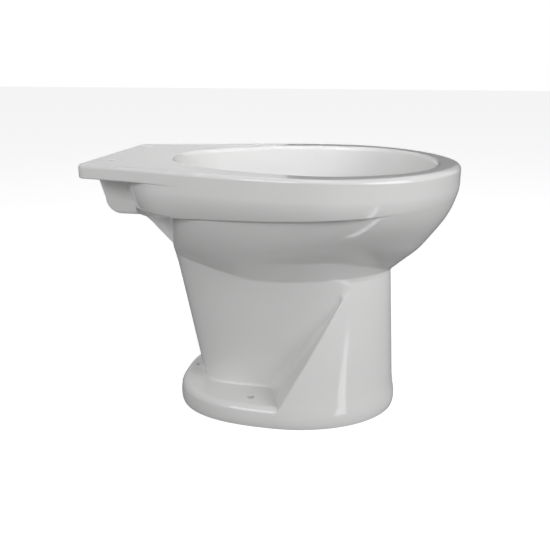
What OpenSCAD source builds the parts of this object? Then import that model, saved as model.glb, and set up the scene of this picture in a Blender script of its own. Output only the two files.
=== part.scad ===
// Floor-standing toilet bowl with a floor outlet, as the castings that are stuck together and fired.
// Millimetres. The floor outlet's centre is the origin, the front of the bowl is +X and up is +Z.

/* [Rim and seat shelf] */
// Height of the rim above the floor
rim_height = 385; // [360:1:420]
// Reach of the rim in front of the outlet
rim_front = 330.4; // [310:1:350]
// Distance from the outlet to the rear edge of the seat shelf
shelf_rear = 197.4; // [190:1:215]
// Distance from the outlet to the widest place of the rim
rim_widest_x = 141.2; // [125:1:155]
// Width of the rim at its widest place
rim_width = 361.2; // [345:1:380]
// Width of the seat shelf at its rear edge
shelf_rear_width = 244; // [220:1:260]
// Radius of the seat shelf's rear corners
shelf_corner = 14; // [11:1:20]
// Thickness of the rim's top plate and the seat shelf
shelf_thickness = 20; // [16:1:24]
// Swell of the rim's wall beyond its top edge
rim_swell = 4.5; // [2:0.5:6]
// Width of the rim's top, from the opening to the rim's outer edge
rim_top_width = 29.5; // [27:0.5:36]
// Distance from the outlet back to the opening's rear edge
opening_rear = 86; // [70:1:92]

/* [Flush channel and inlet] */
// Depth of the flush channel's floor under the rim, above the outlet
channel_depth = 63; // [57:1:69]
// Rise of the channel's floor for each millimetre towards the front
channel_rise = 0.064; // [0.05:0.002:0.075]
// Thickness of the rim band
band_wall = 7; // [6:0.5:8]
// Thickness of the channel's floor
channel_floor = 7; // [5:0.5:9]
// Thickness of the lip that hangs at the opening
lip_wall = 7; // [5:0.5:8]
// Depth of the step under the rim band
band_step = 7; // [5:0.5:8]
// Distance from the outlet back to the rear of the rim band
band_rear = 155; // [150:1:158]
// Diameter of one flush hole
flush_hole_d = 5; // [3:0.5:6]
// Number of flush holes along each side
flush_holes = 9; // [5:1:11]
// Width of the inlet box under the seat shelf
inlet_box_width = 130; // [110:1:140]
// Depth of the inlet box's bottom under the rim
inlet_box_depth = 82; // [77:1:85]
// Distance from the outlet to the inlet box's rear edge, at its top
inlet_box_rear = 196; // [192:1:200]
// Wall of the inlet box
inlet_wall = 7; // [6:0.5:7]
// Diameter of the flush pipe's hole
inlet_bore = 44; // [36:1:46]
// Depth of the middle of the flush pipe's hole under the rim
inlet_depth = 50; // [48:1:52]

/* [Bowl] */
// Height at which the bowl stands on its pedestal
neck_height = 219; // [213:1:224]
// Rise of the soft edge under the bowl, at the sides, above that height
kink_rise = 41; // [34:1:48]
// Distance from the outlet back to the bowl's rear, under the rim band
bowl_rear = 98; // [96:1:104]
// Wall of the bowl and of the basin inside it
bowl_wall = 8; // [6:0.5:9]
// Height of the sump's floor above the ground
sump_floor = 58; // [54:1:62]

/* [Trapway] */
// Bore of the trapway
trap_bore = 60; // [52:1:62]
// Wall of the trapway
trap_wall = 8; // [6:0.5:9]
// Radius of the trapway's bends, at the middle of the bore
trap_bend = 42; // [41:1:46]
// Depth of the bore's middle at the top of the trap, under the bowl's lower end
crown_depth = 21; // [19:1:31]
// Lean of the rising leg from upright
riser_lean = 25; // [22:1:28]
// Bore of the floor outlet
outlet_bore = 64; // [60:1:66]
// Wall of the floor outlet
outlet_wall = 7; // [6:0.5:7]

/* [Pedestal] */
// Length of the foot on the floor, in front of its middle
foot_front = 174; // [166:1:180]
// Length of the foot on the floor, behind its middle
foot_rear = 171.7; // [165:1:180]
// Width of the foot on the floor
foot_width = 257.4; // [240:1:270]
// Height of the foot's ledge
foot_height = 32.5; // [28:0.5:38]
// Lean of the foot's wall over its height
foot_draft = 3.5; // [2:0.5:5]
// Wall of the pedestal
pedestal_wall = 10; // [8:0.5:11]
// Width of the pedestal where it meets the bowl
neck_width = 196; // [184:1:202]
// Reach of the neck in front of the outlet
neck_front = 244; // [238:1:250]
// Distance from the outlet back to the neck's rear
neck_rear = 91; // [86:1:96]
// Width of the recessed rear column on the ledge
column_width = 116; // [112:1:126]
// Distance from the outlet back to the column's rear, on the ledge
column_rear = 50; // [49:1:56]
// Half width of the rib that carries the inlet box
rib_half_width = 48; // [40:1:54]

/* [Fixing holes] */
// Spacing of the seat's holes
seat_spacing = 155; // [140:1:165]
// Diameter of the seat's holes
seat_hole_d = 16; // [12:1:18]
// Distance from the outlet back to the seat's holes
seat_hole_x = 166; // [150:1:172]
// Spacing of the floor screws' holes
floor_spacing = 190; // [184:1:200]
// Diameter of the floor screws' holes
floor_hole_d = 10; // [7:0.5:12]
// Distance of the floor screws' holes in front of the outlet
floor_hole_x = 45; // [30:1:60]
// Diameter of the small hole behind the column
rear_hole_d = 6; // [4:0.5:8]

/* [Hidden] */

glaze = [0.84, 0.84, 0.83];
bisque = [0.80, 0.78, 0.74];

// Stations round every outline: the front arc, then the rear from the +Y side to the -Y side.
front_steps = 32;
rear_steps = 32;
stations = front_steps + rear_steps;
round_fn = 72;

// The front half of an outline is given by an angle from -90 to 90, the rear by one from 0 to 180.
function front_angle(i) = -90 + 180 * i / front_steps;
function rear_angle(i) = 180 * (i - front_steps) / rear_steps;
function in_front(i) = i <= front_steps;
function spow(v, e) = sign(v) * pow(abs(v), e);

// An egg-shaped outline: two half superellipses that meet at the widest place.
function egg(mid, front, rear, half, nf, nr) = [
    for (i = [0:stations - 1])
        in_front(i)
            ? let (t = front_angle(i))
                [mid + front * pow(max(0, cos(t)), 2 / nf), half * spow(sin(t), 2 / nf)]
            : let (t = rear_angle(i))
                [mid - rear * pow(max(0, sin(t)), 2 / nr), half * spow(cos(t), 2 / nr)]
];

// Heights and the opening that follow the rim.
shelf_bottom = rim_height - shelf_thickness;
channel_height = rim_height - channel_depth;
inlet_height = rim_height - inlet_depth;
inlet_box_bottom = rim_height - inlet_box_depth;
opening_front = rim_front - rim_top_width;
opening_width = rim_width - 2 * rim_top_width;

// Rim outline. Its rear flanks run from the widest place to the rear corners of the shelf.
flank = rim_widest_x + shelf_rear;
rim_front_length = rim_front - rim_widest_x;
function ease(s) = 2.17 * s * s - 1.17 * s * s * s;
function flank_half(x) = let (s = (rim_widest_x - x) / flank)
    rim_width / 2 - (rim_width - shelf_rear_width) / 2 * ease(s);
function rim_front_point(i) = let (t = front_angle(i))
    [rim_widest_x + rim_front_length * pow(max(0, cos(t)), 0.99), rim_width / 2 * spow(sin(t), 1.111)];

// The shelf: seven stations down a flank, three round a corner and eleven along the rear edge.
flank_count = 7;
corner_count = 3;
flank_end = flank - shelf_corner;
function shelf_rear_point(k) = k <= flank_count
    ? let (x = rim_widest_x - flank_end * k / (flank_count + 0.4)) [x, flank_half(x)]
    : k <= flank_count + corner_count
        ? let (a = 90 + 90 * (k - flank_count - 0.5) / corner_count)
            [shelf_corner - shelf_rear + shelf_corner * cos(a),
             shelf_rear_width / 2 - shelf_corner + shelf_corner * sin(a)]
        : let (left = rear_steps / 2 - flank_count - corner_count, j = k - flank_count - corner_count)
            [-shelf_rear, (shelf_rear_width / 2 - shelf_corner) * (1 - j / left)];
rim_outline = [
    for (i = [0:stations - 1])
        let (k = i - front_steps)
            in_front(i) ? rim_front_point(i)
            : k <= rear_steps / 2 ? shelf_rear_point(k)
            : let (p = shelf_rear_point(rear_steps - k)) [p[0], -p[1]]
];

// The band and the bowl under it run along the same flanks, then turn into an elliptic end.
round_count = 6;
function end_point(k, turn_x, length, drop) = k <= round_count
    ? let (x = rim_widest_x + (turn_x - rim_widest_x) * k / round_count) [x, flank_half(x) - drop]
    : let (a = 90 * (k - round_count) / (rear_steps / 2 - round_count))
        [turn_x - length * sin(a), (flank_half(turn_x) - drop) * cos(a)];
function round_end(turn_x, length, drop) = [
    for (i = [0:stations - 1])
        let (k = i - front_steps)
            in_front(i) ? rim_front_point(i)
            : k <= rear_steps / 2 ? end_point(k, turn_x, length, drop)
            : let (p = end_point(rear_steps - k, turn_x, length, drop)) [p[0], -p[1]]
];
band_turn_x = -70;
band_outline = round_end(band_turn_x, band_rear + band_turn_x, 0);

// The opening narrows towards the rear and has a blunt rear end, which can grow by less than the sides.
function opening(grow, grow_rear) = [
    for (i = [0:stations - 1])
        in_front(i)
            ? let (t = front_angle(i))
                [rim_widest_x + (opening_front + grow - rim_widest_x) * max(0, cos(t)),
                 (opening_width / 2 + grow) * sin(t)]
            : let (t = rear_angle(i))
                [rim_widest_x - (rim_widest_x + opening_rear + grow_rear) * pow(max(0, sin(t)), 4 / 3),
                 (opening_width / 2 + grow) * spow(cos(t), 0.84)]
];

// Outward normals of an outline, and the outline moved inwards by a list of distances.
function unit(v) = v / max(norm(v), 0.000001);
function outward(p) = [
    for (i = [0:len(p) - 1])
        let (d = p[(i + 1) % len(p)] - p[(i + len(p) - 1) % len(p)]) unit([d[1], -d[0]])
];
function inset(p, d) = let (n = outward(p)) [for (i = [0:len(p) - 1]) p[i] - n[i] * d];
function inset_each(p, d) = let (n = outward(p)) [for (i = [0:len(p) - 1]) p[i] - n[i] * d[i]];
function smooth(v) = let (u = min(1, max(0, v))) u * u * (3 - 2 * u);

// A loop of points in space, at one height or on the sloping plane of the channel's floor.
function at_height(p, z) = [for (q = p) [q[0], q[1], z]];
function channel_z(x) = channel_height + channel_rise * x;
function on_channel(p, lift) = [for (q = p) [q[0], q[1], channel_z(q[0]) + lift]];
function mix(a, b, f) = [for (i = [0:len(a) - 1]) a[i] * (1 - f) + b[i] * f];

// Skins a list of loops: a closed ring of section, or a solid with two flat ends. Each four-sided
// patch is cut along one diagonal, or along the other with flip, so that skins that touch can match.
module skin_ring(loops, flip = false) {
    n = len(loops[0]);
    m = len(loops);
    polyhedron(
        points = [for (l = loops) each l],
        faces = [
            for (k = [0:m - 1])
                for (i = [0:n - 1])
                    let (a = k * n, b = ((k + 1) % m) * n, j = (i + 1) % n)
                        each flip
                            ? [[a + i, b + i, a + j], [b + i, b + j, a + j]]
                            : [[a + i, b + i, b + j], [a + i, b + j, a + j]]
        ]
    );
}

module skin_solid(loops) {
    n = len(loops[0]);
    m = len(loops);
    polyhedron(
        points = [for (l = loops) each l],
        faces = concat(
            [
                for (k = [0:m - 2])
                    for (i = [0:n - 1])
                        let (a = k * n, b = (k + 1) * n, j = (i + 1) % n)
                            each [[a + i, b + i, b + j], [a + i, b + j, a + j]]
            ],
            [[for (i = [0:n - 1]) i]],
            [[for (i = [n - 1:-1:0]) (m - 1) * n + i]]
        )
    );
}

// Rim: the swell fades out towards the shelf, and so does the step towards the front.
swell_from = -150;
swell_over = 200;
step_from = 150;
step_over = 150;
function swell_at(x) = rim_swell * smooth((x - swell_from) / swell_over);
swell_list = [for (p = rim_outline) swell_at(p[0])];
band_swell = [for (p = band_outline) swell_at(p[0])];
step_list = [for (p = band_outline) band_step * (1 - smooth((p[0] - step_from) / step_over))];
band_foot = 2;

function deck_loop(drop, pull) = at_height(
    inset_each(rim_outline, [for (s = swell_list) pull - s * (drop > 0 ? 1 : 0.4)]), rim_height - drop);

module rim_deck() {
    color(glaze)
    difference() {
        skin_ring([
            deck_loop(shelf_thickness, 0),
            deck_loop(10, 0),
            deck_loop(4.5, 0.8),
            deck_loop(1.3, 3.2),
            deck_loop(0, 7.5),
            at_height(opening(7, 7), rim_height),
            at_height(opening(2, 2), rim_height - 2),
            at_height(opening(0, 0), rim_height - 7),
            at_height(opening(0, 0), shelf_bottom)
        ]);
        for (side = [-1, 1])
            translate([-seat_hole_x, side * seat_spacing / 2, shelf_bottom - 1])
                cylinder(d = seat_hole_d, h = shelf_thickness + 2, $fn = round_fn);
    }
}

// The band's wall swells from its foot to the shelf.
function band_loop(f) = let (q = inset_each(band_outline,
        [for (s = band_swell) band_foot - (band_foot + s) * (1 - pow(1 - f, 2.5))]))
    [for (p = q) [p[0], p[1], channel_z(p[0]) * (1 - f) + shelf_bottom * f]];
function band_inner(f) = let (q = inset(band_outline, band_foot + band_wall))
    [for (p = q) [p[0], p[1], channel_z(p[0]) * (1 - f) + shelf_bottom * f]];

module band_body() {
    skin_solid([band_loop(0), band_loop(0.12), band_loop(0.3), band_loop(0.6), band_loop(1)]);
}

port_width = 70;
port_height = 26;
module rim_band() {
    color(glaze)
    difference() {
        skin_ring([
            band_loop(0), band_loop(0.12), band_loop(0.3), band_loop(0.6), band_loop(1),
            band_inner(1), band_inner(0)
        ]);
        translate([-shelf_rear, -port_width / 2, inlet_height - port_height / 2])
            cube([shelf_rear + band_turn_x, port_width, port_height]);
    }
}

module channel_floor_ring() {
    outer = inset(band_outline, band_foot + band_wall);
    hole_path = opening(lip_wall + flush_hole_d / 2, 0);
    color(glaze)
    difference() {
        skin_ring([
            on_channel(outer, 0), on_channel(outer, channel_floor),
            on_channel(opening(0, 0), channel_floor), on_channel(opening(0, 0), 0)
        ]);
        for (side = [-1, 1])
            for (k = [0:flush_holes - 1]) {
                i = round(front_steps / 2 + side * (1 + k * 19 / flush_holes));
                p = hole_path[(i + stations) % stations];
                translate([p[0], p[1], channel_z(p[0]) - 5])
                    cylinder(d = flush_hole_d, h = channel_floor + 10, $fn = 24);
            }
    }
}

module rim_lip() {
    color(glaze)
    skin_ring([
        on_channel(opening(lip_wall, lip_wall), channel_floor),
        at_height(opening(lip_wall, lip_wall), shelf_bottom),
        at_height(opening(0, 0), shelf_bottom),
        on_channel(opening(0, 0), channel_floor)
    ]);
}

// Inlet box: an upright profile with a leaning, rounded rear, carried across under the shelf.
box_lean = 12;
box_corner = 20;
module box_profile(wall, box_front_x) {
    low = inlet_box_bottom + wall;
    back = -inlet_box_rear + wall;
    foot_x = back + box_lean;
    corner = box_corner - wall;
    polygon(concat(
        [[box_front_x, shelf_bottom - wall], [back, shelf_bottom - wall]],
        [for (a = [180:15:270])
            [foot_x + corner + corner * cos(a), low + corner + corner * sin(a)]],
        [[box_front_x, low]]
    ));
}

// The flush pipe's hole has a boss round it, with a flat rear face and its end inside the box.
boss_wall = 6;
boss_length = 26;
module box_slab(width, wall, box_front_x) {
    rotate([90, 0, 0])
        translate([0, 0, -width / 2])
            linear_extrude(width) box_profile(wall, box_front_x);
}
module inlet_rod(d, rear, length) {
    translate([-rear, 0, inlet_height])
        rotate([0, 90, 0]) cylinder(d = d, h = length, $fn = round_fn);
}

module inlet_box() {
    color(glaze)
    difference() {
        union() {
            difference() {
                box_slab(inlet_box_width, 0, 10 - bowl_rear);
                box_slab(inlet_box_width - 2 * inlet_wall, inlet_wall, 15 - band_rear);
            }
            inlet_rod(inlet_bore + 2 * boss_wall, inlet_box_rear, boss_length);
        }
        inlet_rod(inlet_bore, inlet_box_rear + 5, boss_length + 10);
        band_body();
        casing_body();
    }
}

// Bowl: the outer skin runs from the neck to the foot of the band, the basin from the sump to the rim.
neck_mid = 85;
neck_outline = egg(neck_mid, neck_front - neck_mid, neck_mid + neck_rear, neck_width / 2, 2, 2.1);
bowl_turn_x = 0;
rim_end = round_end(bowl_turn_x, bowl_rear + bowl_turn_x, band_foot + band_step);
casing_front = inset_each(rim_end, [for (s = step_list) band_foot + s]);
casing_top = [for (i = [0:stations - 1]) in_front(i) ? casing_front[i] : rim_end[i]];
basin_grow = 12;
basin_top = opening(basin_grow, 0);
sump_mid = 150;
basin_foot_front = 66;
basin_foot_rear = 47;
basin_foot_half = 66;
basin_foot = egg(sump_mid, basin_foot_front, basin_foot_rear, basin_foot_half, 2, 2.2);

// Heights up the bowl at each station: its lower end, the crease over the pedestal, the kink under the
// bowl, which meets the crease at the front tip and nearly at the rear, the waist and the channel's floor.
crease_least = 2;
crease_front_rise = 5;
crease_rear_rise = 17;
kink_least = 3;
kink_rear_fall = 12;
waist_height = 39;
waist_least = 14;
function side_angle(i) = in_front(i) ? abs(front_angle(i)) : rear_angle(i);
function crease_z(i) = let (t = side_angle(i)) neck_height + crease_least
    + (in_front(i)
        ? crease_front_rise * sin(180 * pow(t / 90, 0.72))
        : crease_rear_rise * smooth(min(t, 180 - t) / 50));
function kink_z(i) = let (t = side_angle(i)) max(
    crease_z(i) + kink_least,
    neck_height + (in_front(i)
        ? kink_rise * pow(sin(t), 1.3)
        : kink_rise - kink_rear_fall * sqrt(max(0, sin(t)))));
function waist_z(i) = max(neck_height + waist_height, kink_z(i) + waist_least);
function top_z(i) = channel_z(casing_top[i][0]);
function level_z(i, k) =
    k == 0 ? neck_height
    : k == 1 ? crease_z(i)
    : k == 2 ? (crease_z(i) + kink_z(i)) / 2
    : k == 3 ? kink_z(i)
    : k == 4 ? (kink_z(i) + waist_z(i)) / 2
    : k == 5 ? waist_z(i)
    : waist_z(i) + (top_z(i) - waist_z(i)) * (k == 6 ? 0.36 : k == 7 ? 0.7 : 1);

// The casing leans out a little up to the crease, more up to the kink, and then curves to the band.
neck_lean = 0.25;
kink_lean = 0.85;
function front_weight(i) = in_front(i) ? pow(cos(front_angle(i)), 2) : 0;
function crease_point(i) = let (n = unit(neck_outline[i] - [neck_mid, 0]))
    neck_outline[i] + n * neck_lean * (1 - front_weight(i)) * (crease_z(i) - neck_height);
function kink_point(i) = let (a = crease_point(i), way = casing_top[i] - a)
    a + unit(way) * min(norm(way) * 0.9, kink_lean * (kink_z(i) - crease_z(i)));
function bulge(i, z) = 1.35 + 0.35 * front_weight(i) * (1 - smooth((z - neck_height - waist_height) / 60));
function casing_point(i, k) = let (
        z = level_z(i, k), v = (z - kink_z(i)) / (top_z(i) - kink_z(i)), a = kink_point(i),
        q = k == 0 ? neck_outline[i]
            : k == 1 ? crease_point(i)
            : k == 2 ? (crease_point(i) + kink_point(i)) / 2
            : a + (casing_top[i] - a) * (1 - pow(1 - v, bulge(i, z))))
    [q[0], q[1], z];
function rear_weight(i) = in_front(i) ? 0 : pow(sin(rear_angle(i)), 2);
function basin_point(i, k) = let (
        f = (level_z(i, k) - neck_height) / (top_z(i) - neck_height),
        q = basin_foot[i] + (basin_top[i] - basin_foot[i]) * pow(f, 0.55 + 0.85 * rear_weight(i)))
    [q[0], q[1], neck_height + f * (channel_z(basin_top[i][0]) - neck_height)];

// Where the two skins lie close together they share the wall, and elsewhere each has its own.
function skin_wall(i, k) = min(bowl_wall, norm(casing_point(i, k) - basin_point(i, k)) / 2);
function casing_loop(k) = [for (i = [0:stations - 1]) casing_point(i, k)];
function casing_inner(k) = [for (i = [0:stations - 1])
    let (a = casing_point(i, k), b = basin_point(i, k)) a + unit(b - a) * skin_wall(i, k)];
function basin_loop(k) = [for (i = [0:stations - 1]) basin_point(i, k)];
function basin_outer(k) = [for (i = [0:stations - 1])
    let (a = casing_point(i, k), b = basin_point(i, k)) b + unit(a - b) * skin_wall(i, k)];
level_count = 9;

module casing_body() {
    skin_solid([for (k = [0:level_count - 1]) casing_loop(k)]);
}

module bowl_casing() {
    color(glaze)
    skin_ring(concat(
        [for (k = [0:level_count - 1]) casing_loop(k)],
        [for (k = [level_count - 1:-1:0]) casing_inner(k)]
    ));
}

module basin_liner() {
    color(glaze)
    skin_ring(concat(
        [for (k = [0:level_count - 1]) basin_outer(k)],
        [for (k = [level_count - 1:-1:0]) basin_loop(k)]
    ), flip = true);
}

// Sump: each row holds its share of the height from the floor to the bowl's lower end, and the rear end,
// the front end and the half width of its inside, the ends measured from the trap's lower bend.
sump_rows = [
    [0.83, -21, 61, 55],
    [0.63, -7, 56, 48],
    [0.44, 9, 53, 42],
    [0.26, 12, 50, 37],
    [0.09, 15, 46, 31]
];
function sump_outline(row, grow) = let (mid = (row[1] + row[2]) / 2, half = (row[2] - row[1]) / 2 + grow)
    egg(bend_x + mid, half, half, row[3] + grow, 2, 2.2);
function sump_z(row) = sump_floor + row[0] * (neck_height - sump_floor);
function sump_ring(k, grow) = at_height(sump_outline(sump_rows[k], grow), sump_z(sump_rows[k]));
sump_last = len(sump_rows) - 1;
sump_socket = 30;

module sump_well() {
    bottom = sump_rows[sump_last];
    color(bisque)
    difference() {
        union() {
            skin_solid(concat(
                [at_height(sump_outline(bottom, -6), sump_floor - trap_wall),
                 at_height(sump_outline(bottom, trap_wall - 4), sump_floor - 2)],
                [for (k = [sump_last:-1:0]) sump_ring(k, trap_wall)],
                [basin_outer(0)]
            ));
            translate([bend_x, 0, low_centre])
                rotate([0, 90, 0])
                    cylinder(d = trap_outer, h = sump_socket, $fn = round_fn);
        }
        skin_solid(concat(
            [at_height(sump_outline(bottom, -8), sump_floor)],
            [for (k = [sump_last:-1:0]) sump_ring(k, 0)],
            [basin_loop(0), at_height(basin_foot, neck_height + 1)]
        ));
        translate([bend_x - 1, 0, low_centre])
            rotate([0, 90, 0])
                cylinder(d = trap_bore, h = sump_socket + 4, $fn = round_fn);
    }
}

// Trapway: from the sump round the lower bend, up the riser, over the crown and down to the floor.
trap_outer = trap_bore + 2 * trap_wall;
crown_z = neck_height - crown_depth - trap_bend;
riser_top = [trap_bend + trap_bend * cos(riser_lean), crown_z + trap_bend * sin(riser_lean)];
low_centre = sump_floor + trap_bore / 2;
riser_foot_z = low_centre + trap_bend * (1 - sin(riser_lean));
riser_length = (riser_top[1] - riser_foot_z) / cos(riser_lean);
riser_foot = [riser_top[0] + riser_length * sin(riser_lean), riser_foot_z];
bend_x = riser_foot[0] + trap_bend * cos(riser_lean);
bend_z = low_centre + trap_bend;

module trap_section() {
    difference() {
        circle(d = trap_outer, $fn = round_fn);
        circle(d = trap_bore, $fn = round_fn);
    }
}

module bend(angle) {
    rotate([90, 0, 0])
        rotate_extrude(angle = angle, $fn = round_fn)
            translate([trap_bend, 0]) trap_section();
}

module trap_lower_bend() {
    color(bisque)
    translate([bend_x, 0, bend_z])
        rotate([0, 180 - riser_lean, 0]) bend(90 - riser_lean);
}

module trap_riser() {
    color(bisque)
    translate([riser_top[0], 0, riser_top[1]])
        rotate([0, 180 - riser_lean, 0])
            linear_extrude(riser_length) trap_section();
}

module trap_crown() {
    color(bisque)
    translate([trap_bend, 0, crown_z])
        rotate([0, -riser_lean, 0]) bend(180 - riser_lean);
}

taper_z = 100;
module trap_drop_leg() {
    color(bisque)
    rotate_extrude($fn = round_fn)
        polygon([
            [outlet_bore / 2, foot_height], [outlet_bore / 2 + outlet_wall, foot_height],
            [trap_outer / 2, taper_z], [trap_outer / 2, crown_z],
            [trap_bore / 2, crown_z], [trap_bore / 2, taper_z]
        ]);
}

// The horn ends in a collar that the floor seal presses on.
collar_d = 94;
collar_height = 8;
module outlet_horn() {
    color(bisque)
    difference() {
        union() {
            cylinder(d = outlet_bore + 2 * outlet_wall, h = foot_height, $fn = round_fn);
            cylinder(d = collar_d, h = collar_height, $fn = round_fn);
        }
        translate([0, 0, -1]) cylinder(d = outlet_bore, h = foot_height + 2, $fn = round_fn);
    }
}

// Pedestal: a broad front column and a narrow rear column, parted by a leaning ridge on each side.
foot_outline = egg(neck_mid, foot_front, foot_rear, foot_width / 2, 1.97, 2.64);
ledge_outline = inset(foot_outline, foot_draft);
column_mid = 30;
column_front = neck_front - 9;
column_outline = egg(
    column_mid, column_front - column_mid, column_mid + column_rear, column_width / 2, 2.4, 3.2);
neck_inner = inset(neck_outline, pedestal_wall);

// Each column lofts from its outline on the ledge to the neck, and its hollow runs 1 mm past both ends.
column_height = neck_height - foot_height;
function loft(low, high, f) = at_height(mix(low, high, f), foot_height + column_height * f);
module column_body(low) {
    skin_solid([loft(low, neck_outline, 0), loft(low, neck_outline, 1)]);
}
module column_hollow(low) {
    over = 1 / column_height;
    inner = inset(low, pedestal_wall);
    skin_solid([loft(inner, neck_inner, -over), loft(inner, neck_inner, 1 + over)]);
}

// Everything in front of the ridge: x is at least ridge_x + ridge_slope * z + ridge_splay * |y|.
ridge_x = 41;
ridge_slope = 0.6;
ridge_splay = 0.27;
module ahead_of_ridge(shift) {
    reach = 180;
    far = 420;
    low = foot_height - 30;
    high = neck_height + 30;
    x_low = ridge_x + shift + ridge_slope * low;
    x_high = ridge_x + shift + ridge_slope * high;
    splay = ridge_splay * reach;
    points = [
        for (level = [[x_low, low], [x_high, high]])
            each [
                [level[0], 0, level[1]], [far, 0, level[1]],
                [level[0] + splay, reach, level[1]], [far, reach, level[1]],
                [level[0] + splay, -reach, level[1]], [far, -reach, level[1]]
            ]
    ];
    polyhedron(points = points, faces = [
        [0, 1, 3, 2], [0, 4, 5, 1],
        [6, 8, 9, 7], [6, 7, 11, 10],
        [0, 2, 8, 6], [0, 6, 10, 4],
        [2, 3, 9, 8], [4, 10, 11, 5],
        [1, 5, 11, 7], [1, 7, 9, 3]
    ]);
}

module front_column() {
    color(glaze)
    difference() {
        intersection() {
            column_body(ledge_outline);
            ahead_of_ridge(0);
        }
        intersection() {
            column_hollow(ledge_outline);
            ahead_of_ridge(pedestal_wall);
        }
        column_hollow(column_outline);
    }
}

module rear_column() {
    color(glaze)
    difference() {
        column_body(column_outline);
        column_hollow(column_outline);
        ahead_of_ridge(0);
    }
}

// Rear rib: a web that leans back from the bowl's rear to the inlet box's bottom.
rib_reach = 36;
rib_drop = 45;
rib_root = 40;
module rear_rib() {
    top = inlet_box_bottom;
    color(glaze)
    difference() {
        rotate([90, 0, 0])
            translate([0, 0, -rib_half_width])
                linear_extrude(2 * rib_half_width)
                    polygon([
                        [-bowl_rear - rib_reach, top],
                        [-bowl_rear - rib_reach + 7, top - 8],
                        [-bowl_rear + 2, top - rib_drop + 9],
                        [-bowl_rear + 14, top - rib_drop],
                        [-bowl_rear + rib_root, top - rib_drop],
                        [-bowl_rear + rib_root, top]
                    ]);
        casing_body();
    }
}

module foot_flange() {
    cavity = inset(foot_outline, pedestal_wall + 2);
    column_hole = inset(column_outline, pedestal_wall);
    front_hole = inset(ledge_outline, pedestal_wall);
    plate = 10;
    color(glaze)
    difference() {
        skin_solid([
            at_height(foot_outline, 0),
            at_height(inset(foot_outline, foot_draft * 0.4), foot_height * 0.75),
            at_height(ledge_outline, foot_height)
        ]);
        translate([0, 0, -1]) linear_extrude(foot_height - plate + 1) polygon(cavity);
        linear_extrude(foot_height + 1) polygon(column_hole);
        intersection() {
            linear_extrude(foot_height + 1) polygon(front_hole);
            ahead_of_ridge(pedestal_wall);
        }
        for (side = [-1, 1])
            translate([floor_hole_x, side * floor_spacing / 2, 0])
                cylinder(d = floor_hole_d, h = foot_height + 1, $fn = round_fn);
        translate([-(foot_rear - neck_mid + column_rear) / 2, 0, 0])
            cylinder(d = rear_hole_d, h = foot_height + 1, $fn = round_fn);
    }
}

rim_deck();
rim_band();
channel_floor_ring();
rim_lip();
inlet_box();
bowl_casing();
basin_liner();
sump_well();
trap_lower_bend();
trap_riser();
trap_crown();
trap_drop_leg();
outlet_horn();
rear_rib();
rear_column();
front_column();
foot_flange();
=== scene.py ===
import math
import bpy
import numpy as np
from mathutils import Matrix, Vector
from mathutils.geometry import delaunay_2d_cdt


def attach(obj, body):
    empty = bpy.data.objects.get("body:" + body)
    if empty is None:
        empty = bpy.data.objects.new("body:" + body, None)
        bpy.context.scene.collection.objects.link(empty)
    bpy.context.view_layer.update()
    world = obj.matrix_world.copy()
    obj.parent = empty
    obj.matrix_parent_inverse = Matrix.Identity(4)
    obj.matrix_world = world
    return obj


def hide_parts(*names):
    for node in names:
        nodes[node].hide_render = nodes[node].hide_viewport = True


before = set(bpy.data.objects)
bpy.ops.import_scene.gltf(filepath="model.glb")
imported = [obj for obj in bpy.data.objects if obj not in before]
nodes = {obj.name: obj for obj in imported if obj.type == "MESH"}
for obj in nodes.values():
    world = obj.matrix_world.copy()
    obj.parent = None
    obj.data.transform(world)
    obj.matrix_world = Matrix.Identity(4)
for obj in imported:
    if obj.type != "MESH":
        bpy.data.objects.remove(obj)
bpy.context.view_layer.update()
scene = bpy.context.scene
scene.view_settings.view_transform = "Standard"
mm = 0.001
print("frame loaded,", len(nodes), "nodes")

# ---------------------------------------------------------------- camera, lamps, floor
cameraView = {
    "place": (0.25985, -0.98198, 0.52386),
    "heading": 11.27,   # degrees the view turns from +Y towards -X
    "pitch": 17.94,     # degrees it looks down
    "lens": 43.46,
    "sensor": 36.0,
}


def makeCamera(v):
    data = bpy.data.cameras.new("photoCamera")
    data.lens, data.sensor_width, data.sensor_fit = v["lens"], v["sensor"], "HORIZONTAL"
    data.clip_start, data.clip_end = 0.05, 60
    camera = bpy.data.objects.new("photoCamera", data)
    scene.collection.objects.link(camera)
    camera.location = v["place"]
    camera.rotation_euler = (math.radians(90 - v["pitch"]), 0, math.radians(v["heading"]))
    scene.camera = camera


makeCamera(cameraView)

studio = {
    "lampKey": {"place": (2.1, -0.95, 1.4), "size": (1.5, 1.2), "power": 29},
    "lampLeft": {"place": (-0.7, -1.9, 1.25), "size": (0.9, 0.6), "power": 12},
    "lampTop": {"place": (0.1, -0.5, 2.4), "size": (0.6, 0.6), "power": 4},
    "lampBack": {"place": (-0.6, 1.4, 2.0), "size": (0.8, 0.6), "power": 3},
    "lampInner": {"place": (0.0, -0.9, 1.7), "size": (0.2, 0.2), "power": 0.19, "spread": 24,
                  "target": (0.05, 0.2, 0.33)},
    "aim": (0.07, 0, 0.25),
    "horizonGrey": 0.9,
    "zenithGrey": 0.0,
    "zenithRise": 0.8,      # how high the gradient ends, as the sine of the height angle
    "mirrorGrey": 0.75,
    "floorGrey": 0.55,
    "floorGlow": 0.82,
    "floorDim": 0.36,
    "floorHalf": 12,
}


def makeLamp(name, v):
    data = bpy.data.lights.new(name, "AREA")
    data.shape = "RECTANGLE"
    data.size, data.size_y = v["size"]
    data.energy = v["power"]
    data.spread = math.radians(v.get("spread", 180))
    lamp = bpy.data.objects.new(name, data)
    scene.collection.objects.link(lamp)
    lamp.location = v["place"]
    aim = Vector(v.get("target", studio["aim"])) - Vector(v["place"])
    lamp.rotation_euler = aim.to_track_quat("-Z", "Y").to_euler()


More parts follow.
